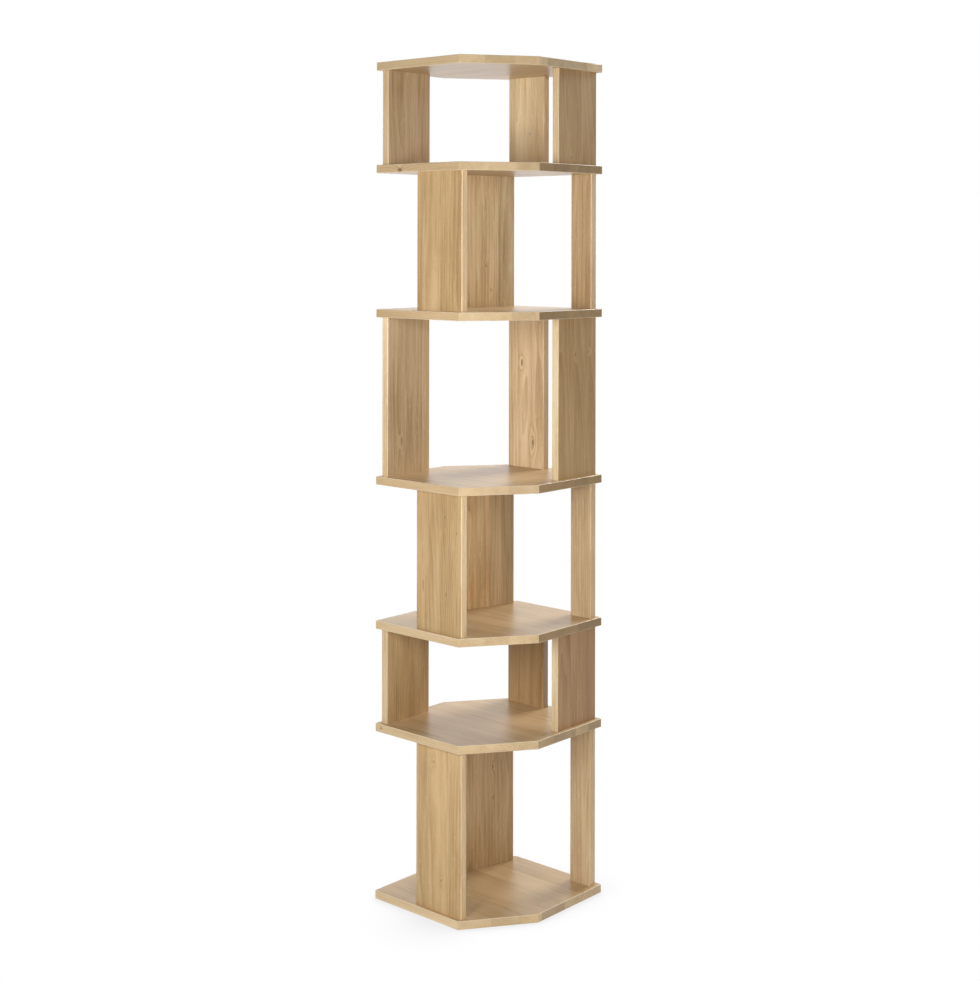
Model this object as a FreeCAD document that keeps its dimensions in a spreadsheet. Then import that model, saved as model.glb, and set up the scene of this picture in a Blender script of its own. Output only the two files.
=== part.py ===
import FreeCAD, Part
import math
import os
import re
import Sketcher

# Spine bookshelf in solid oak: seven six-sided boards, six open tiers between them and
# three upright panels in each tier, joined with hidden dowels and glue.
# The frame is in millimetres, +Z up, with the origin under the middle of the base board.
# X runs along the boards' front edge and Y from the front to the back.

doc = FreeCAD.newDocument("spine_bookshelf")

# Driving dimensions
SIZES = {
    # boards: a rectangle with two opposite corners cut off, front right and back left
    "board_width": 380,
    "board_depth": 390,
    "board_thickness": 20,
    "board_arris": 1.5,
    "corner_cut_width": 110,
    "corner_cut_depth": 155,
    # clear heights of the tiers, from board to board
    "tall_tier": 380,
    "middle_tier": 325,
    "short_tier": 225,
    # panels
    "panel_thickness": 20,
    "panel_arris": 3,
    "wide_panel": 144,
    "medium_panel": 116,
    "narrow_panel": 63,
    # places of the panels on the boards
    "edge_inset": 10,
    "back_lap": 4,
    "inner_setback": 22,
    # dowels, and the clearance of their holes
    "dowel_diameter": 8,
    "dowel_in_board": 11,
    "dowel_in_panel": 23,
    "dowel_chamfer": 0.8,
    "dowel_side_gap": 0.1,
    "dowel_end_gap": 1,
    "dowel_margin": 25,
    "narrow_dowel_margin": 17,
}

sheet = doc.addObject("Spreadsheet::Sheet", "Sizes")
for row, (alias, number) in enumerate(SIZES.items(), start=1):
    sheet.set("A%d" % row, alias)
    sheet.set("B%d" % row, str(number))
    sheet.setAlias("B%d" % row, alias)
doc.recompute()

SIZE_WORD = re.compile(r"\b(%s)\b" % "|".join(SIZES))


def bound(expression):
    """An expression with each size in it read from its cell of the sheet."""
    return SIZE_WORD.sub(r"Sizes.\1", expression)


def value(expression):
    """What an expression comes to now."""
    return float(sheet.evalExpression(bound(expression)))


# Where things stand, as expressions
HALF_WIDTH = "board_width / 2"
HALF_DEPTH = "board_depth / 2"
PANEL_LINE = "(edge_inset + panel_thickness / 2)"
HOLE_DIAMETER = "dowel_diameter + 2 * dowel_side_gap"
BOARD_HOLE = "dowel_in_board + dowel_end_gap"
PANEL_HOLE = "dowel_in_panel + dowel_end_gap"
FRONT_CORNER = "board_width / 2 - corner_cut_width"
BACK_CORNER = "corner_cut_width - board_width / 2"

ALONG_X = ("1", "0")
ALONG_Y = ("0", "1")

# The inner panel's back face stands on the line from the cut back corner to the front
# left corner
INNER_ANGLE = "atan(board_depth / corner_cut_width)"
ALONG_INNER = ("cos(%s)" % INNER_ANGLE, "sin(%s)" % INNER_ANGLE)
INNER_STEP = "(inner_setback + wide_panel / 2)"

# Each kind of panel: its length on plan, the way it runs, that way's angle to X, the
# place of its middle, and how far its dowels stand from its ends
PANELS = {
    "left_panel": {
        "length": "wide_panel", "way": ALONG_Y, "angle": "90", "margin": "dowel_margin",
        "x": "%s - %s" % (PANEL_LINE, HALF_WIDTH),
        "y": "edge_inset + wide_panel / 2 - %s" % HALF_DEPTH,
    },
    "right_panel": {
        "length": "wide_panel", "way": ALONG_Y, "angle": "90", "margin": "dowel_margin",
        "x": "%s - %s" % (HALF_WIDTH, PANEL_LINE),
        "y": "%s - edge_inset - wide_panel / 2" % HALF_DEPTH,
    },
    "back_panel": {
        "length": "medium_panel", "way": ALONG_X, "angle": "0", "margin": "dowel_margin",
        "x": "%s - back_lap + medium_panel / 2" % BACK_CORNER,
        "y": "%s - %s" % (HALF_DEPTH, PANEL_LINE),
    },
    "front_panel": {
        "length": "wide_panel", "way": ALONG_X, "angle": "0", "margin": "dowel_margin",
        "x": "%s - wide_panel / 2" % FRONT_CORNER,
        "y": "%s - %s" % (PANEL_LINE, HALF_DEPTH),
    },
    "narrow_panel": {
        "length": "narrow_panel", "way": ALONG_X, "angle": "0", "margin": "narrow_dowel_margin",
        "x": "%s - edge_inset - narrow_panel / 2" % HALF_WIDTH,
        "y": "%s - %s" % (HALF_DEPTH, PANEL_LINE),
    },
    "inner_panel": {
        "length": "wide_panel", "way": ALONG_INNER, "angle": INNER_ANGLE, "margin": "dowel_margin",
        "x": "%s - %s * %s + %s * panel_thickness / 2"
             % (BACK_CORNER, ALONG_INNER[0], INNER_STEP, ALONG_INNER[1]),
        "y": "%s - %s * %s - %s * panel_thickness / 2"
             % (HALF_DEPTH, ALONG_INNER[1], INNER_STEP, ALONG_INNER[0]),
    },
}
EVEN_TIER = ("left_panel", "right_panel", "back_panel")
ODD_TIER = ("front_panel", "narrow_panel", "inner_panel")

# The tiers and boards from the floor up
TIERS = [
    ("tall_tier", ODD_TIER),
    ("short_tier", EVEN_TIER),
    ("middle_tier", ODD_TIER),
    ("tall_tier", EVEN_TIER),
    ("middle_tier", ODD_TIER),
    ("short_tier", EVEN_TIER),
]
BOARDS = ["base_board"]
BOARDS += ["shelf_%d_board" % number for number in range(1, len(TIERS))]
BOARDS += ["top_board"]


def board_height(index):
    """Height of a board's underside."""
    below = [clear for clear, kinds in TIERS[:index]]
    return " + ".join(["%d * board_thickness" % index] + below)


def tier_height(index):
    """Height of the board that a tier stands on."""
    return board_height(index) + " + board_thickness"


def dowel_spots(kinds):
    """Places of the dowels at one end of a tier's panels, on plan."""
    spots = []
    for kind in kinds:
        panel = PANELS[kind]
        reach = "(%s / 2 - %s)" % (panel["length"], panel["margin"])
        for side in ("-", "+"):
            spots.append(tuple(
                "%s %s %s * %s" % (panel[axis], side, step, reach)
                for axis, step in zip("xy", panel["way"])))
    return spots


def new_body(label, height="0"):
    body = doc.addObject("PartDesign::Body", label)
    body.Label = label
    body.setExpression("Placement.Base.z", bound(height))
    return body


def new_sketch(body, name, height="0"):
    """A flat sketch across a body, at a height above the body's own base."""
    sketch = body.newObject("Sketcher::SketchObject", name)
    planes = [item for item in body.Origin.OriginFeatures if item.Role == "XY_Plane"]
    sketch.AttachmentSupport = [(planes[0], "")]
    sketch.MapMode = "FlatFace"
    sketch.setExpression("AttachmentOffset.Base.z", bound(height))
    return sketch


def dimension(sketch, constraint, name, expression):
    """Adds a dimension and ties it to the sheet."""
    sketch.renameConstraint(sketch.addConstraint(constraint), name)
    sketch.setExpression("Constraints." + name, bound(expression))


def draw_outline(sketch, corners):
    """A closed outline of straight sides, each corner dimensioned from the origin."""
    points = [FreeCAD.Vector(value(x), value(y), 0) for x, y in corners]
    count = len(points)
    for index, point in enumerate(points):
        sketch.addGeometry(Part.LineSegment(point, points[(index + 1) % count]))
    for index, (x, y) in enumerate(corners):
        sketch.addConstraint(Sketcher.Constraint("Coincident", (index - 1) % count, 2, index, 1))
        across = Sketcher.Constraint("DistanceX", -1, 1, index, 1, points[index].x)
        dimension(sketch, across, "corner_%d_x" % (index + 1), x)
        along = Sketcher.Constraint("DistanceY", -1, 1, index, 1, points[index].y)
        dimension(sketch, along, "corner_%d_y" % (index + 1), y)


def draw_circles(sketch, spots, diameter):
    """Equal circles; a spot with no y lies on the sketch's X axis."""
    radius = value(diameter) / 2
    for index, (x, y) in enumerate(spots):
        middle = FreeCAD.Vector(value(x), value(y) if y else 0, 0)
        sketch.addGeometry(Part.Circle(middle, FreeCAD.Vector(0, 0, 1), radius))
        across = Sketcher.Constraint("DistanceX", -1, 1, index, 3, middle.x)
        dimension(sketch, across, "spot_%d_x" % (index + 1), x)
        if y:
            along = Sketcher.Constraint("DistanceY", -1, 1, index, 3, middle.y)
            dimension(sketch, along, "spot_%d_y" % (index + 1), y)
        else:
            sketch.addConstraint(Sketcher.Constraint("PointOnObject", index, 3, -1))
    size = Sketcher.Constraint("Diameter", 0, 2 * radius)
    dimension(sketch, size, "diameter", diameter)
    for index in range(1, len(spots)):
        sketch.addConstraint(Sketcher.Constraint("Equal", 0, index))


def pad(body, name, sketch, length):
    feature = body.newObject("PartDesign::Pad", name)
    feature.Profile = sketch
    feature.setExpression("Length", bound(length))
    sketch.Visibility = False
    doc.recompute()
    return feature


HOLE_TOLERANCE = 0.01


def drill(body, name, spots, height, depth, upwards):
    """Blind dowel holes, checked by the volume that they take away."""
    whole = body.Shape.Volume
    sketch = new_sketch(body, name + "_sketch", height)
    draw_circles(sketch, spots, HOLE_DIAMETER)
    feature = body.newObject("PartDesign::Pocket", name)
    feature.Profile = sketch
    feature.setExpression("Length", bound(depth))
    feature.Reversed = upwards
    doc.recompute()
    hole = math.pi / 4 * value(HOLE_DIAMETER) ** 2 * value(depth)
    drilled = whole - body.Shape.Volume
    if abs(drilled - len(spots) * hole) > HOLE_TOLERANCE * hole:
        raise RuntimeError("%s: the holes of %s miss the wood" % (body.Label, name))


def ease(body, name, base, radius, keep):
    """Rounds the edges of a feature that a test keeps."""
    edges = ["Edge%d" % (index + 1) for index, edge in enumerate(base.Shape.Edges) if keep(edge)]
    feature = body.newObject("PartDesign::Fillet", name)
    feature.Base = (base, edges)
    feature.setExpression("Radius", bound(radius))
    doc.recompute()


LENGTH_TOLERANCE = 1e-6


def upright(edge):
    """Whether an edge is a straight vertical one."""
    low, high = edge.BoundBox.ZMin, edge.BoundBox.ZMax
    return abs(edge.Length - (high - low)) < LENGTH_TOLERANCE


def make_board(index):
    """One board: six sides, eased all round, with dowel holes for the tiers it meets."""
    body = new_body(BOARDS[index], board_height(index))
    outline = new_sketch(body, "outline_%d" % index)
    draw_outline(outline, [
        ("-board_width / 2", "-board_depth / 2"),
        (FRONT_CORNER, "-board_depth / 2"),
        ("board_width / 2", "corner_cut_depth - board_depth / 2"),
        ("board_width / 2", "board_depth / 2"),
        (BACK_CORNER, "board_depth / 2"),
        ("-board_width / 2", "board_depth / 2 - corner_cut_depth"),
    ])
    plank = pad(body, "plank_%d" % index, outline, "board_thickness")
    ease(body, "arris_%d" % index, plank, "board_arris", lambda edge: True)
    if index < len(TIERS):
        spots = dowel_spots(TIERS[index][1])
        drill(body, "top_holes_%d" % index, spots, "board_thickness", BOARD_HOLE, False)
    if index > 0:
        spots = dowel_spots(TIERS[index - 1][1])
        drill(body, "under_holes_%d" % index, spots, "0", BOARD_HOLE, True)
    return body


def make_panel(index, kind):
    """One upright panel: rounded upright edges, and dowel holes in both ends."""
    clear = TIERS[index][0]
    panel = PANELS[kind]
    label = "tier_%d_%s" % (index + 1, kind)
    body = new_body(label, tier_height(index))
    body.setExpression("Placement.Base.x", bound(panel["x"]))
    body.setExpression("Placement.Base.y", bound(panel["y"]))
    body.setExpression("Placement.Rotation.Angle", bound(panel["angle"]))
    half_length = panel["length"] + " / 2"
    outline = new_sketch(body, label + "_outline")
    draw_outline(outline, [
        ("-" + half_length, "-panel_thickness / 2"),
        (half_length, "-panel_thickness / 2"),
        (half_length, "panel_thickness / 2"),
        ("-" + half_length, "panel_thickness / 2"),
    ])
    slab = pad(body, label + "_slab", outline, clear)
    ease(body, label + "_arris", slab, "panel_arris", upright)
    reach = "%s - %s" % (half_length, panel["margin"])
    spots = [("-(%s)" % reach, None), (reach, None)]
    drill(body, label + "_foot_holes", spots, "0", PANEL_HOLE, True)
    drill(body, label + "_head_holes", spots, clear, PANEL_HOLE, False)
    return body


def make_dowels(index):
    """A tier's dowels: half of them in the panels' feet, half in their heads."""
    clear, kinds = TIERS[index]
    label = "tier_%d_dowels" % (index + 1)
    body = new_body(label, tier_height(index))
    body.AllowCompound = True
    spots = dowel_spots(kinds)
    for end, start in (("foot", "-dowel_in_board"), ("head", clear + " - dowel_in_panel")):
        sketch = new_sketch(body, "%s_%s_rounds" % (label, end), start)
        draw_circles(sketch, spots, "dowel_diameter")
        pins = pad(body, "%s_%s_pins" % (label, end), sketch, "dowel_in_board + dowel_in_panel")
    rims = ["Edge%d" % (rim + 1) for rim, edge in enumerate(pins.Shape.Edges) if not upright(edge)]
    chamfer = body.newObject("PartDesign::Chamfer", label + "_rims")
    chamfer.Base = (pins, rims)
    chamfer.setExpression("Size", bound("dowel_chamfer"))
    doc.recompute()
    return body


# The pieces, and how many solids each node holds
nodes = [(make_board(index), 1) for index in range(len(BOARDS))]
for index, (clear, kinds) in enumerate(TIERS):
    nodes += [(make_panel(index, kind), 1) for kind in kinds]
    nodes.append((make_dowels(index), 2 * len(dowel_spots(kinds))))
doc.recompute()

# Nothing is written unless every object is sound
for item in doc.Objects:
    if "Invalid" in item.State or "Error" in item.State:
        raise RuntimeError("%s failed to recompute: %s" % (item.Label, item.State))
for body, count in nodes:
    shape = body.Shape
    if shape.isNull() or not shape.isValid() or len(shape.Solids) != count:
        raise RuntimeError("%s is not %d sound solids" % (body.Label, count))

os.makedirs("parts", exist_ok=True)
for body, count in nodes:
    body.Shape.exportStep("parts/%s.step" % body.Label)
print("%d nodes written" % len(nodes))
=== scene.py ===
import math
import random

import bmesh
import bpy
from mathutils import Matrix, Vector


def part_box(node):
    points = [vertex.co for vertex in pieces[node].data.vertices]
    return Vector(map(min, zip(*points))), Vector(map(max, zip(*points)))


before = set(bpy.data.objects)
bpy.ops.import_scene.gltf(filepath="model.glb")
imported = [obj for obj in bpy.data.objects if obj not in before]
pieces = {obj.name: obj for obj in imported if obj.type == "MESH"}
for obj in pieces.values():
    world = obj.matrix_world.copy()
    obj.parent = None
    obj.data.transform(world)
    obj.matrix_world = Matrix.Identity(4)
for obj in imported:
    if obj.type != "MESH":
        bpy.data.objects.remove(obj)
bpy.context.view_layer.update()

# Boards
# Seven six-sided boards of solid oak, each glued up from staves that run from left to
# right. They are sanded, eased along every arris and oiled matt, and the panels between
# them are glued and dowelled into their faces.
# pale, cut and ends are set board by board to how bright each board's edges look, so they hold painted
# light and shade as well as the wood's own colour: the boards the lamps light most are given the least
# pale edges.
BOARDS = {
    "base_board": {"pale": 0.56, "cut": 0.32, "ends": 0.1},
    "shelf_1_board": {"pale": 0.36, "cut": 0.41, "ends": 0.6,
                      "knots": (((-0.195, 0.010, -0.171), 0.006, 0.5),)},
    "shelf_2_board": {"pale": 0.30, "cut": 0.35},
    "shelf_3_board": {"pale": 0.08, "cut": 0.28},
    "shelf_4_board": {"pale": 0.08, "cut": 0.28},
    "shelf_5_board": {"pale": 0.17, "cut": 0.26,
                      "knots": (((-0.195, 0.006, -0.111), 0.010, 0.8),)},
    "top_board": {"pale": 0.18, "cut": 0.26, "ends": 0.0},
}
BOARD_TURN = (math.pi / 2, 0, math.pi / 2)
BOARD_STAVES = 8
OAK_PALE = (0.640, 0.465, 0.265, 1)
OAK_BODY = (0.535, 0.365, 0.186, 1)
OAK_DEEP = (0.390, 0.243, 0.110, 1)
OAK_PORE = (0.270, 0.165, 0.080, 1)
OAK_KNOT = (0.120, 0.055, 0.020, 1)
# The colour of the painted highlight along the eased arrises
OAK_ARRIS_HIGHLIGHT = (0.92, 0.80, 0.60, 1)
GLUE_LINE = (0.300, 0.190, 0.095, 1)
END_GRAIN = (0.52, 0.45, 0.31, 1)
DARK_END = 0.82
PALE_END = 1.20
# How much paler the edges are made: part sapwood, part painted light and sheen on the edges
SAPWOOD_AND_SHEEN = (1.76, 1.99, 2.32, 1)
HONEY = (1.00, 1.00, 1.00)
GRAIN = {
    "clouds": {"cells": (11, 11, 3), "detail": 1.0, "share": 0.42},
    "bands": {"cells": (45, 45, 4), "detail": 3.0, "share": 0.45},
    "streaks": {"cells": (170, 170, 9), "detail": 2.0, "share": 0.18},
    "fibres": {"cells": (900, 900, 25), "detail": 2.0, "share": 0.20},
    "flecks": {"cells": (330, 330, 45), "detail": 1.0, "share": -0.12, "peaks": (0.60, 0.75)},
    "lines": {"cells": (210, 210, 6), "detail": 2.0, "share": 0.14, "peaks": (0.60, 0.74)},
}
FIGURE_MEAN = 0.72
RING_WIDTH = 0.0052
RING_SHARE = 0.16
SWIRL = 30.0
HEART_REACH = 0.8
HEART_DEPTH = (0.035, 0.110)
HEART_LEAN = 0.05
HEART_WANDER = (0.030, 0.020, 0)
PORE_CELLS = (1300, 1300, 90)
PORE_PEAKS = (0.60, 0.72)
PORE_SHARE = 0.30
PORE_DEPTH = 0.00012
PORE_ROUGHNESS = 0.15
FACE_ROUGHNESS = (0.46, 0.56)
FACE_KNOT = (2.0, 0.0, 0.7)
EDGE_KNOT = (0.3, 2.0, 1.3)
KNOT_FADE = 0.7
KNOT_SWELL = 2.2
KNOT_RIM = (1.3, 0.5)
GLUE_WIDTH = 0.0006
GLUE_SHARE = 0.2
EDGE_FLAT = 0.3
EDGE_DULL = 0.5
CUT_ENDWAYS = 0.6
END_ENDWAYS = 0.75
BOARD_DULL = 0.73
# How far the boards' arrises take the painted highlight
BOARD_ARRIS_HIGHLIGHT = 0.7
BOARD_CONTRAST = 1.5
PANEL_CONTRAST = 2.7


def add_node(tree, kind, settings, inputs):
    """A node with its settings, and each input set to a value or joined to a socket."""
    made = tree.nodes.new(kind)
    for name, setting in settings.items():
        setattr(made, name, setting)
    for key, source in inputs.items():
        if isinstance(source, bpy.types.NodeSocket):
            tree.links.new(source, made.inputs[key])
        else:
            made.inputs[key].default_value = source
    return made


def sums(tree, operation, first, second=0.0):
    return add_node(tree, "ShaderNodeMath", {"operation": operation}, {0: first, 1: second}).outputs[0]


def vectors(tree, operation, first, second=(0, 0, 0)):
    return add_node(tree, "ShaderNodeVectorMath", {"operation": operation}, {0: first, 1: second})


def remap(tree, source, low, high, start=0.0, stop=1.0):
    ends = {"From Min": low, "From Max": high, "To Min": start, "To Max": stop}
    return add_node(tree, "ShaderNodeMapRange", {}, {"Value": source, **ends}).outputs[0]


def blend(tree, way, share, first, second):
    settings = {"data_type": "RGBA", "blend_type": way}
    return add_node(tree, "ShaderNodeMix", settings, {0: share, 6: first, 7: second}).outputs[2]


def noise(tree, place, stretch, detail):
    """Noise with so many cells to the metre across, through and along the grain."""
    scaled = vectors(tree, "MULTIPLY", place, stretch).outputs[0]
    return add_node(tree, "ShaderNodeTexNoise", {}, {"Vector": scaled, "Scale": 1.0, "Detail": detail})


def ramp(tree, source, stops, interpolation):
    made = add_node(tree, "ShaderNodeValToRGB", {}, {0: source})
    made.color_ramp.interpolation = interpolation
    elements = made.color_ramp.elements
    while len(elements) < len(stops):
        elements.new(1.0)
    for element, (position, colour) in zip(elements, stops):
        element.position = position
        element.color = colour
    return made.outputs[0]


def make_oak_figure():
    """Solid oak cut from a log: growth rings, streaks, fibres and pores along the grain."""
    tree = bpy.data.node_groups.new("oak_figure", "ShaderNodeTree")
    inputs = (("Place", "Vector"), ("Stave", "Color"), ("Swell", "Float"), ("Contrast", "Float"))
    for name, kind in inputs:
        tree.interface.new_socket(name, in_out="INPUT", socket_type="NodeSocket" + kind)
    for name, kind in (("Colour", "Color"), ("Roughness", "Float"), ("Relief", "Float")):
        tree.interface.new_socket(name, in_out="OUTPUT", socket_type="NodeSocket" + kind)
    given = tree.nodes.new("NodeGroupInput").outputs
    tone, heart, luck = add_node(tree, "ShaderNodeSeparateColor", {}, {0: given["Stave"]}).outputs
    apart = vectors(tree, "MULTIPLY", given["Stave"], (0, 3, 9)).outputs[0]
    place = vectors(tree, "ADD", given["Place"], apart).outputs[0]
    across, through, along = add_node(tree, "ShaderNodeSeparateXYZ", {}, {0: given["Place"]}).outputs

    # The log's heart lies beside the stave, leans a little and wanders along its length
    wander = noise(tree, place, (9, 9, 1.6), 2.0).outputs[1]
    drift = vectors(tree, "SUBTRACT", wander, (0.5, 0.5, 0.5)).outputs[0]
    drift = vectors(tree, "MULTIPLY", drift, HEART_WANDER).outputs[0]
    heart_line = remap(tree, heart, 0, 1, -HEART_REACH / 2, HEART_REACH / 2)
    lean = sums(tree, "MULTIPLY", along, remap(tree, luck, 0, 1, -HEART_LEAN, HEART_LEAN))
    aside = sums(tree, "ADD", sums(tree, "SUBTRACT", across, heart_line), lean)
    below = sums(tree, "ADD", through, remap(tree, luck, 0, 1, *HEART_DEPTH))
    below = sums(tree, "ADD", below, given["Swell"])
    from_heart = add_node(tree, "ShaderNodeCombineXYZ", {}, {0: aside, 1: below}).outputs[0]
    from_heart = vectors(tree, "ADD", from_heart, drift).outputs[0]
    rings = add_node(
        tree, "ShaderNodeTexWave",
        {"wave_type": "RINGS", "rings_direction": "Z", "wave_profile": "SAW"},
        {"Vector": from_heart, "Scale": math.pi / (10 * RING_WIDTH), "Distortion": 1.2, "Detail": 2.0,
         "Detail Scale": 0.6}).outputs[1]

    # Layers from wide clouds down to fibres lie over the rings, and swirl where grain swells
    figure = sums(tree, "MULTIPLY", rings, RING_SHARE)
    grain = {}
    for name, layer in GRAIN.items():
        grain[name] = noise(tree, place, layer["cells"], layer["detail"]).outputs[0]
        if "peaks" in layer:
            grain[name] = remap(tree, grain[name], *layer["peaks"])
        figure = sums(tree, "ADD", figure, sums(tree, "MULTIPLY", grain[name], layer["share"]))
    swirl = sums(tree, "MULTIPLY", sums(tree, "SUBTRACT", rings, 0.5), given["Swell"])
    figure = sums(tree, "ADD", figure, sums(tree, "MULTIPLY", swirl, SWIRL))
    figure = sums(tree, "MULTIPLY", sums(tree, "SUBTRACT", figure, FIGURE_MEAN), given["Contrast"])
    stops = ((0.0, OAK_PALE), (0.5, OAK_BODY), (1.0, OAK_DEEP))
    colour = ramp(tree, sums(tree, "ADD", figure, 0.5), stops, "LINEAR")

    # Pores are dark, dull and sunken, and lie closer together towards one side of a ring
    holes = remap(tree, noise(tree, place, PORE_CELLS, 1.0).outputs[0], *PORE_PEAKS)
    pores = sums(tree, "MULTIPLY", holes, remap(tree, rings, 0, 1, 0.25, 1.0))
    colour = blend(tree, "MIX", sums(tree, "MULTIPLY", pores, PORE_SHARE), colour, OAK_PORE)
    colour = blend(tree, "MULTIPLY", 1.0, colour, sums(tree, "MULTIPLY", tone, 2.0))
    dull = remap(tree, grain["streaks"], 0.2, 0.8, *FACE_ROUGHNESS)
    dull = sums(tree, "ADD", dull, sums(tree, "MULTIPLY", pores, PORE_ROUGHNESS))
    relief = sums(tree, "SUBTRACT", sums(tree, "MULTIPLY", grain["fibres"], 0.35), pores)
    add_node(tree, "NodeGroupOutput", {}, {0: colour, 1: dull, 2: relief})
    return tree


oak_figure = make_oak_figure()


def stave_stops(seams, tones, half, luck):
    """For each stave, its tone, where its log's heart lay and a number of its own."""
    edges = [-half, *seams, half]
    stops = []
    for left, right, tone in zip(edges, edges[1:], tones):
        heart = (left + right) / 2 + luck.uniform(-0.07, 0.07)
        colour = (tone / 2, heart / HEART_REACH + 0.5, luck.random(), 1)
        stops.append(((left + half) / (2 * half), colour))
    return stops


def glue_stops(seams, half):
    """A thin peak at each seam."""
    stops = []
    for seam in seams:
        for step, height in ((-GLUE_WIDTH, 0), (0, 1), (GLUE_WIDTH, 0)):
            stops.append(((seam + step + half) / (2 * half), (height, height, height, 1)))
    return stops


def knot_marks(tree, place, knots, shape):
    """How far the grain swells round the knots, and how dark they are."""
    swell = 0.0
    dark = 0.0
    for knot_place, width, depth in knots:
        away = vectors(tree, "SUBTRACT", place, knot_place).outputs[0]
        away = vectors(tree, "MULTIPLY", away, Vector(shape) / width).outputs[0]
        reach = vectors(tree, "LENGTH", away).outputs["Value"]
        hump = sums(tree, "POWER", 0.5, sums(tree, "MULTIPLY", reach, KNOT_FADE))
        swell = sums(tree, "ADD", swell, sums(tree, "MULTIPLY", hump, KNOT_SWELL * width))
        dark = sums(tree, "MAXIMUM", dark, remap(tree, reach, *KNOT_RIM, 0.0, depth))
    return swell, dark


def oak(node, turn, half, foot, seams, tones, shade=HONEY, sapwood_and_sheen=SAPWOOD_AND_SHEEN, pale=0.5, cut=0.5,
        ends=1.0, arris_highlight=0.0, dull=1.0, contrast=PANEL_CONTRAST, knots=(), knot_shape=FACE_KNOT):
    """Oak for one piece: its staves lie side by side across it, each with its own figure.

    turn is the piece's angle and foot the point that its places are measured from. pale and
    cut are how far the edges along and across the grain are paler, part sapwood and part
    painted light and sheen, ends how far the cut ends are darker, and the arris share how far
    the arrises are painted paler still, a painted highlight. dull is how matt the faces are.
    The tones and shade given for the panels hold painted light and shade as well as the
    wood's own tone. A knot is given by its place across, through and along the grain, its
    width and its depth."""
    luck = random.Random(node)
    material = bpy.data.materials.new(node + "_oak")
    material.use_nodes = True
    tree = material.node_tree
    shader = tree.nodes["Principled BSDF"]
    spot = add_node(tree, "ShaderNodeTexCoord", {}, {}).outputs["Object"]
    place = add_node(tree, "ShaderNodeMapping", {"vector_type": "TEXTURE"},
                     {"Vector": spot, "Location": foot, "Rotation": turn}).outputs[0]
    across = add_node(tree, "ShaderNodeSeparateXYZ", {}, {0: place}).outputs[0]
    share = remap(tree, across, -half, half)
    stave = ramp(tree, share, stave_stops(seams, tones, half, luck), "CONSTANT")

    # Grain swells round a knot, the knot itself is dark, and a glue line shows at each seam
    swell, dark = knot_marks(tree, place, knots, knot_shape)
    figure = add_node(tree, "ShaderNodeGroup", {"node_tree": oak_figure},
                      {"Place": place, "Stave": stave, "Swell": swell, "Contrast": contrast}).outputs
    colour = blend(tree, "MIX", dark, figure["Colour"], OAK_KNOT)
    glue = ramp(tree, share, glue_stops(seams, half), "LINEAR")
    colour = blend(tree, "MIX", sums(tree, "MULTIPLY", glue, GLUE_SHARE), colour, GLUE_LINE)

    # Edges are paler, part sapwood and part painted light, and cut ends drink more oil, no two alike
    facing = add_node(tree, "ShaderNodeNewGeometry", {}, {}).outputs["Normal"]
    facing = add_node(tree, "ShaderNodeMapping", {"vector_type": "TEXTURE"},
                      {"Vector": facing, "Rotation": turn}).outputs[0]
    facing = vectors(tree, "MULTIPLY", facing, facing).outputs[0]
    flat, endways = add_node(tree, "ShaderNodeSeparateXYZ", {}, {0: facing}).outputs[1:]
    colour = blend(tree, "MULTIPLY", remap(tree, flat, EDGE_FLAT, 1.0), colour, (*shade, 1))
    pale_share = remap(tree, endways, 0, CUT_ENDWAYS, pale, cut)
    sanded_and_sheen = sums(tree, "MULTIPLY", remap(tree, flat, 1.0, EDGE_FLAT), pale_share)
    colour = blend(tree, "MULTIPLY", sanded_and_sheen, colour, sapwood_and_sheen)
    soaked = remap(tree, endways, END_ENDWAYS, 1.0, 0.0, ends)
    colour = blend(tree, "MULTIPLY", soaked, colour, END_GRAIN)
    luck_share = add_node(tree, "ShaderNodeSeparateColor", {}, {0: stave}).outputs[2]
    end_tone = remap(tree, luck_share, 0, 1, DARK_END, PALE_END)
    colour = blend(tree, "MULTIPLY", remap(tree, endways, 0.4, 1.0), colour, end_tone)
    # Arrises are painted paler still: a painted highlight along the eased edges
    arris = sums(tree, "MULTIPLY", flat, sums(tree, "SUBTRACT", 1.0, flat))
    colour = blend(tree, "MIX", remap(tree, arris, 0, 0.25, 0.0, arris_highlight), colour, OAK_ARRIS_HIGHLIGHT)
    rubbed = remap(tree, flat, 1.0, 0.7, dull, EDGE_DULL)
    bump = add_node(tree, "ShaderNodeBump", {}, {"Height": figure["Relief"], "Distance": PORE_DEPTH})
    tree.links.new(colour, shader.inputs["Base Color"])
    tree.links.new(sums(tree, "MULTIPLY", figure["Roughness"], rubbed), shader.inputs["Roughness"])
    tree.links.new(bump.outputs[0], shader.inputs["Normal"])
    pieces[node].data.materials.clear()
    pieces[node].data.materials.append(material)


def middle(node):
    """The middle of a piece's underside, and half its size each way."""
    low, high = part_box(node)
    half = (high - low) / 2
    return Vector((low.x + half.x, low.y + half.y, low.z)), half


for board, looks in BOARDS.items():
    foot, half = middle(board)
    luck = random.Random(board)
    widths = [luck.uniform(0.7, 1.3) for stave in range(BOARD_STAVES)]
    stave_width = 2 * half.y / sum(widths)
    seams = [-half.y + stave_width * sum(widths[:count]) for count in range(1, BOARD_STAVES)]
    tones = [luck.uniform(0.96, 1.04) for stave in range(BOARD_STAVES)]
    oak(board, BOARD_TURN, half.y, foot, seams, tones, arris_highlight=BOARD_ARRIS_HIGHLIGHT, dull=BOARD_DULL,
        contrast=BOARD_CONTRAST, knot_shape=EDGE_KNOT, **looks)

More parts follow.
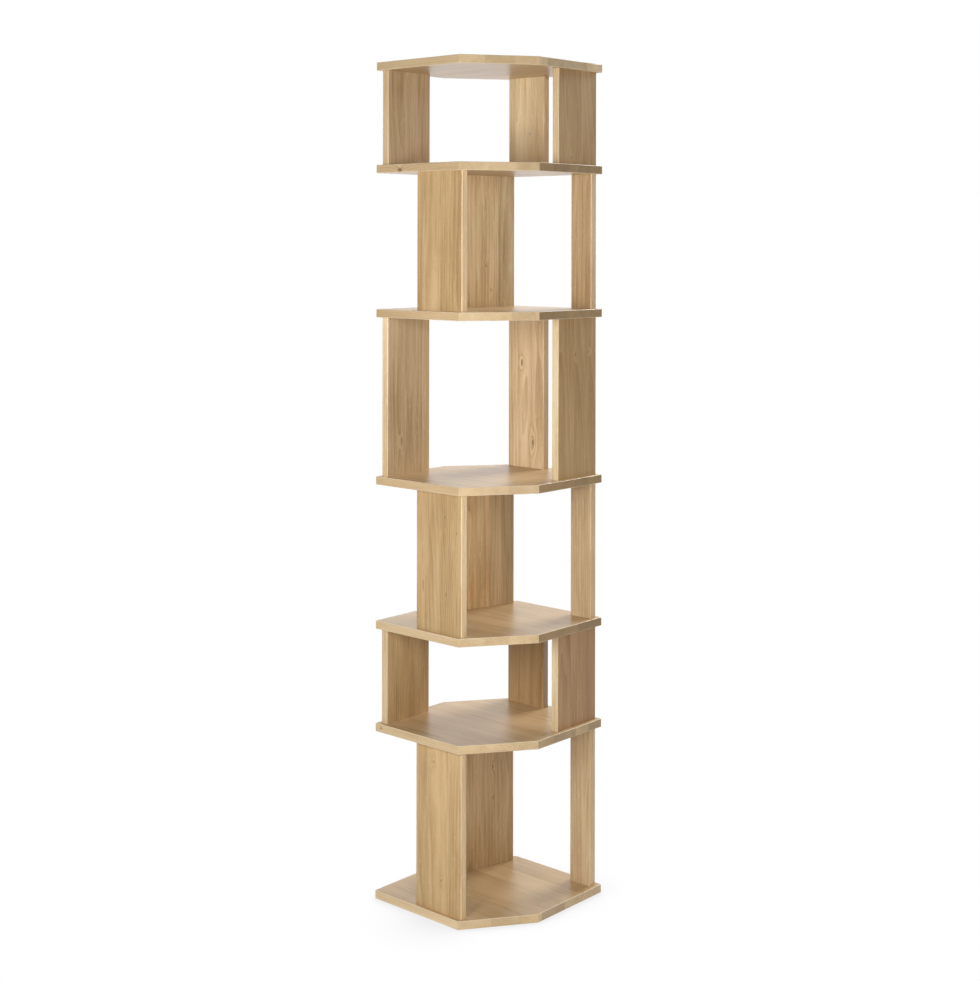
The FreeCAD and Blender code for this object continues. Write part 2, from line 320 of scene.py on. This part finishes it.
# Front panels
# One wide oak panel at the front edge of every odd tier, of three upright staves, with its
# upright arrises well rounded. Dowels and glue hold it between the boards.
GOLDEN = (1.02, 0.99, 0.89)
# A warmer edge paleness for the upright ends, part sapwood and part painted light
WARM_SAPWOOD_AND_SHEEN = (1.90, 2.02, 2.20, 1)
# Their tones and shades are set face by face, so they hold painted light as well as the wood's own
# tone: tier 1's front is made paler, where the lamps give less light.
FRONT_PANELS = {
    1: {"seams": (-0.032, 0.036), "tones": (1.06, 1.12, 1.08), "shade": GOLDEN, "pale": 0.50,
        "knots": (((-0.014, 0, 0.344), 0.004, 0.55), ((0.010, 0, 0.074), 0.004, 0.55))},
    3: {"seams": (-0.034, 0.005), "tones": (0.94, 0.90, 0.91), "shade": GOLDEN, "pale": 1.0,
        "knots": (((0.021, 0, 0.270), 0.003, 0.55), ((0.058, 0, 0.237), 0.0025, 0.55),
                  ((0.024, 0, 0.092), 0.003, 0.55))},
    5: {"seams": (-0.054, 0.004), "tones": (0.98, 0.95, 0.93), "shade": GOLDEN, "pale": 1.0},
}


def finish_panels(kind, tiers, turn, half, sapwood_and_sheen=SAPWOOD_AND_SHEEN):
    """Oak for the like panels of several tiers, turned so far about the upright."""
    for tier, looks in tiers.items():
        panel = "tier_%d_%s_panel" % (tier, kind)
        foot = middle(panel)[0]
        oak(panel, (0, 0, turn), half, foot, sapwood_and_sheen=sapwood_and_sheen, **looks)


wide_half = middle("tier_1_front_panel")[1].x
finish_panels("front", FRONT_PANELS, 0, wide_half, WARM_SAPWOOD_AND_SHEEN)

# Inner panels
# The same wide panel once more in every odd tier, set askew behind the front one: its back
# face stands on the line from the cut back corner to the front left corner.
CUT_WIDTH = 0.110
# The inner panels' tones, and the CREAM shade, are mostly painted light: these panels are made far
# paler than the others, most in tier 5, and paler at the near staves than at the far ones, as the
# light falls on them.
CREAM = (0.97, 1.08, 1.22)
INNER_PANELS = {
    1: {"seams": (-0.030, 0.016), "tones": (1.13, 1.09, 1.03),
        "knots": (((0.010, 0, 0.245), 0.005, 0.55), ((0.010, 0, 0.168), 0.003, 0.55))},
    3: {"seams": (-0.040, -0.002, 0.034), "tones": (1.66, 1.48, 1.12, 0.92)},
    5: {"seams": (-0.034, 0.022), "tones": (1.86, 1.82, 1.42), "shade": CREAM,
        "knots": (((-0.013, 0, 0.102), 0.003, 0.55), ((0.002, 0, 0.042), 0.003, 0.55))},
}
base_low, base_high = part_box("base_board")
inner_turn = math.atan2(base_high.y - base_low.y, CUT_WIDTH)
finish_panels("inner", INNER_PANELS, inner_turn, wide_half)

# Narrow panels
# One slim oak panel near the back right corner of every odd tier, a single stave and a
# strip, dowelled like the others.
PALE = (0.97, 1.02, 1.12)
# Their tones and shades are set face by face and hold some painted light as well as the wood's own
# tone.
NARROW_PANELS = {
    1: {"seams": (0.012,), "tones": (1.13, 1.15), "shade": PALE, "pale": 0.05},
    3: {"seams": (0.008,), "tones": (1.06, 1.04), "shade": PALE, "pale": 0.4},
    5: {"seams": (-0.010,), "tones": (0.91, 0.93), "pale": 0.8},
}
narrow_half = middle("tier_1_narrow_panel")[1].x
finish_panels("narrow", NARROW_PANELS, 0, narrow_half, WARM_SAPWOOD_AND_SHEEN)

# Left panels
# One wide oak panel at the left edge of every even tier, square to the front edge.
SQUARE_TURN = math.pi / 2
# Their tones and shades are set face by face and hold some painted light as well as the wood's own
# tone.
LEFT_PANELS = {
    2: {"seams": (-0.050, -0.002, 0.053), "tones": (0.91, 0.93, 0.89, 0.92), "shade": GOLDEN,
        "pale": 0.42},
    4: {"seams": (-0.028, 0.041), "tones": (1.13, 1.08, 1.17), "shade": PALE, "pale": 0.36,
        "knots": (((-0.024, 0, 0.082), 0.005, 0.55),)},
    6: {"seams": (-0.024, 0.030), "tones": (1.08, 1.06, 1.05), "shade": PALE, "pale": 0.18},
}
finish_panels("left", LEFT_PANELS, SQUARE_TURN, wide_half)

# Right panels
# Their fellows at the right edge, turned half round about the shelf's middle.
# Their low tones are partly painted shade, darkening the outer faces that take less light, and partly
# the wood's own tone; AMBER and ROSY also hold the wood's own hue.
AMBER = (1.06, 0.97, 0.82)
ROSY = (1.10, 0.92, 0.83)
RIGHT_PANELS = {
    2: {"seams": (-0.024, 0.022), "tones": (0.75, 0.75, 0.71), "shade": ROSY, "pale": 1.0},
    4: {"seams": (-0.014, 0.035), "tones": (0.83, 0.81, 0.83), "shade": AMBER, "pale": 0.88,
        "knots": (((-0.008, 0, 0.294), 0.003, 0.55), ((0.042, 0, 0.298), 0.003, 0.55))},
    6: {"seams": (0.012,), "tones": (0.83, 0.83), "shade": AMBER, "pale": 0.78,
        "knots": (((-0.025, 0, 0.016), 0.003, 0.55), ((0.054, 0, 0.063), 0.003, 0.55))},
}
finish_panels("right", RIGHT_PANELS, SQUARE_TURN, wide_half)

# Back panels
# One panel of middle width at the back edge of every even tier, of two or three staves.
# Their tones are set face by face: tier 2's is made dark, painted shade under the board above, and
# those of tiers 4 and 6 are made pale, painted light, over the wood's own tone.
BACK_PANELS = {
    2: {"seams": (-0.018,), "tones": (0.73, 0.71), "shade": AMBER, "pale": 0.0,
        "knots": (((-0.008, 0, 0.017), 0.003, 0.55),)},
    4: {"seams": (0.018,), "tones": (1.28, 1.25), "shade": PALE, "pale": 0.0,
        "knots": (((-0.013, 0, 0.260), 0.006, 0.7), ((0.023, 0, 0.063), 0.008, 0.6))},
    6: {"seams": (-0.036, 0.005), "tones": (1.30, 1.39, 1.34), "shade": CREAM, "pale": 0.0,
        "knots": (((0.012, 0, 0.085), 0.003, 0.55),)},
}
back_half = middle("tier_2_back_panel")[1].x
finish_panels("back", BACK_PANELS, 0, back_half)

# Dowels
# Plain turned beech pins, glued half in the panels and half in the boards, so that none of
# them shows once the shelf is together.
DOWEL_PALE = (0.640, 0.470, 0.330, 1)
DOWEL_DEEP = (0.520, 0.350, 0.230, 1)
DOWEL_TIERS = range(1, 7)


def make_beech():
    material = bpy.data.materials.new("dowel_beech")
    material.use_nodes = True
    tree = material.node_tree
    shader = tree.nodes["Principled BSDF"]
    spot = add_node(tree, "ShaderNodeTexCoord", {}, {}).outputs["Object"]
    flecks = noise(tree, spot, (1400, 1400, 130), 2.0).outputs[0]
    stops = ((0.35, DOWEL_PALE), (0.75, DOWEL_DEEP))
    tree.links.new(ramp(tree, flecks, stops, "LINEAR"), shader.inputs["Base Color"])
    tree.links.new(remap(tree, flecks, 0, 1, 0.55, 0.70), shader.inputs["Roughness"])
    return material


beech = make_beech()
for tier in DOWEL_TIERS:
    dowels = pieces["tier_%d_dowels" % tier]
    dowels.data.materials.clear()
    dowels.data.materials.append(beech)

# Floor
# A wide pale floor. The camera sees it as white but for the soft shadow round the base
# board; the wood sees it as a matt pale ground.
FLOOR_REACH = 40.0
FLOOR_GREY = (0.88, 0.88, 0.88, 1)
SHADOW_REACH = 0.30
SHADOW_WHITE = 0.86
SHADOW_RANGE = (0.6, 0.93)


def seen_directly(tree):
    """1 where the ray comes from the camera or off a shiny or clear surface."""
    path = add_node(tree, "ShaderNodeLightPath", {}, {}).outputs
    shiny = sums(tree, "MAXIMUM", path["Is Glossy Ray"], path["Is Transmission Ray"])
    return sums(tree, "MAXIMUM", path["Is Camera Ray"], shiny)


floor_mesh = bpy.data.meshes.new("floor")
plane = bmesh.new()
bmesh.ops.create_grid(plane, x_segments=1, y_segments=1, size=FLOOR_REACH / 2)
plane.to_mesh(floor_mesh)
plane.free()
floor = bpy.data.objects.new("floor", floor_mesh)
bpy.context.scene.collection.objects.link(floor)
floor_paint = bpy.data.materials.new("floor_paint")
floor_paint.use_nodes = True
tree = floor_paint.node_tree
tree.nodes.remove(tree.nodes["Principled BSDF"])
ground = add_node(tree, "ShaderNodeBsdfDiffuse", {}, {"Color": FLOOR_GREY}).outputs[0]
openness = add_node(tree, "ShaderNodeAmbientOcclusion", {"samples": 32},
                    {"Distance": SHADOW_REACH}).outputs["AO"]
brightness = remap(tree, openness, *SHADOW_RANGE, SHADOW_WHITE, 1.0)
white = add_node(tree, "ShaderNodeEmission", {}, {"Strength": brightness}).outputs[0]
surface = add_node(tree, "ShaderNodeMixShader", {}, {0: seen_directly(tree), 1: ground, 2: white})
tree.links.new(surface.outputs[0], tree.nodes["Material Output"].inputs["Surface"])
floor.data.materials.append(floor_paint)

# Light
# A soft lamp stands before the shelf on the left of the camera and a softer one beside the
# camera. A soft lamp high behind and a wide screen at the back left light the boards' tops.
ROOM_LIGHT = 0.10
LAMP_AIM = Vector((0.0, 0.0, 1.0))
LAMPS = {
    "front_lamp": {"place": (0.43, -2.00, 1.45), "width": 0.70, "height": 0.90, "power": 20.9},
    "camera_lamp": {"place": (1.74, -1.93, 1.40), "width": 1.10, "height": 1.40, "power": 26.9},
    "high_lamp": {"place": (0.20, 2.29, 2.93), "width": 1.20, "height": 1.20, "power": 70.0},
    "back_screen": {"place": (-2.71, 1.57, 1.67), "width": 3.00, "height": 2.40, "power": 14.5},
}

room = bpy.data.worlds.new("white_room")
bpy.context.scene.world = room
room.use_nodes = True
tree = room.node_tree
sky = tree.nodes["Background"]
sky.inputs["Color"].default_value = (1, 1, 1, 1)
tree.links.new(remap(tree, seen_directly(tree), 0, 1, ROOM_LIGHT, 1.0), sky.inputs["Strength"])
for name, looks in LAMPS.items():
    light = bpy.data.lights.new(name, "AREA")
    light.shape = "RECTANGLE"
    light.size = looks["width"]
    light.size_y = looks["height"]
    light.energy = looks["power"]
    lamp = bpy.data.objects.new(name, light)
    lamp.location = looks["place"]
    lamp.rotation_euler = (LAMP_AIM - lamp.location).to_track_quat("-Z", "Y").to_euler()
    lamp.visible_camera = False
    bpy.context.scene.collection.objects.link(lamp)
bpy.context.scene.view_settings.view_transform = "Standard"

# Camera
# It stands level in front of the cut corner, so that upright lines stay upright, and the
# frame is shifted down to take in the whole shelf.
PHOTO_WIDTH = 980
PHOTO_HEIGHT = 981
FOCAL_PIXELS = 1617.1
HORIZON_ROW = 241.9
MIDDLE_COLUMN = 489.8
CAMERA_DISTANCE = 3.888
CAMERA_HEIGHT = 1.571
CAMERA_TURN = math.radians(41.79)
CAMERA_ROLL = 0.0018

camera_data = bpy.data.cameras.new("camera")
camera_data.sensor_fit = "HORIZONTAL"
camera_data.lens = FOCAL_PIXELS * camera_data.sensor_width / PHOTO_WIDTH
camera_data.shift_x = (PHOTO_WIDTH / 2 - MIDDLE_COLUMN) / PHOTO_WIDTH
camera_data.shift_y = (HORIZON_ROW - PHOTO_HEIGHT / 2) / PHOTO_WIDTH
camera = bpy.data.objects.new("camera", camera_data)
camera.location = (CAMERA_DISTANCE * math.sin(CAMERA_TURN), -CAMERA_DISTANCE * math.cos(CAMERA_TURN),
                   CAMERA_HEIGHT)
camera.rotation_euler = (math.pi / 2, -CAMERA_ROLL, CAMERA_TURN)
bpy.context.scene.collection.objects.link(camera)
bpy.context.scene.camera = camera
